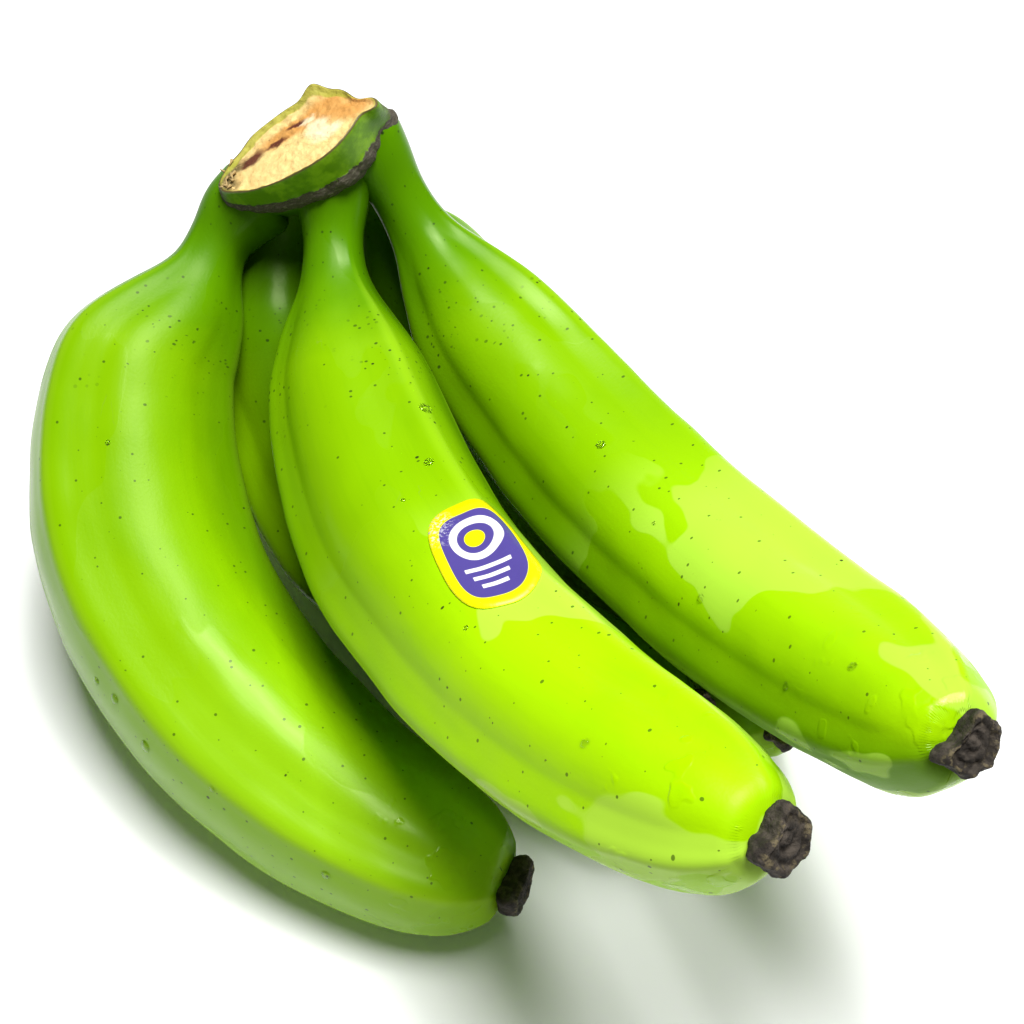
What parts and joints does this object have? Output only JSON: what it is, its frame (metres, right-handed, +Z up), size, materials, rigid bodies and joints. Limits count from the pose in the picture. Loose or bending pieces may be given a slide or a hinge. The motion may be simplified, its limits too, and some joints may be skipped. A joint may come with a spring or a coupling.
{
  "type": "hand of green plantains",
  "caption": "Curved green plantain fingers growing from one cut crown, with dried blossom ends and a small oval paper label, lying on a surface",
  "frame": {"origin": "on the surface that the hand rests on, under the middle of its box", "axes": "+Z up, +X to the right of the picture, +Y away from its camera towards the crown"},
  "size_m": [0.1935, 0.2142, 0.1161],
  "materials": {
    "skin": "waxy green peel, wet in patches",
    "crown": "cut stalk, cream and brown, with a green side",
    "blossom_end": "dry, dark and corky",
    "label": "glossy printed paper"
  },
  "bodies": {
    "root": {"crown": "crown", "finger_front_left": "skin", "finger_front_middle": "skin", "finger_front_right": "skin", "finger_back_left": "skin", "finger_back_right": "skin", "blossom_end_front_left": "blossom_end", "blossom_end_front_middle": "blossom_end", "blossom_end_front_right": "blossom_end", "blossom_end_back_left": "blossom_end", "blossom_end_back_right": "blossom_end", "label": "label"}
  },
  "joints": []
}
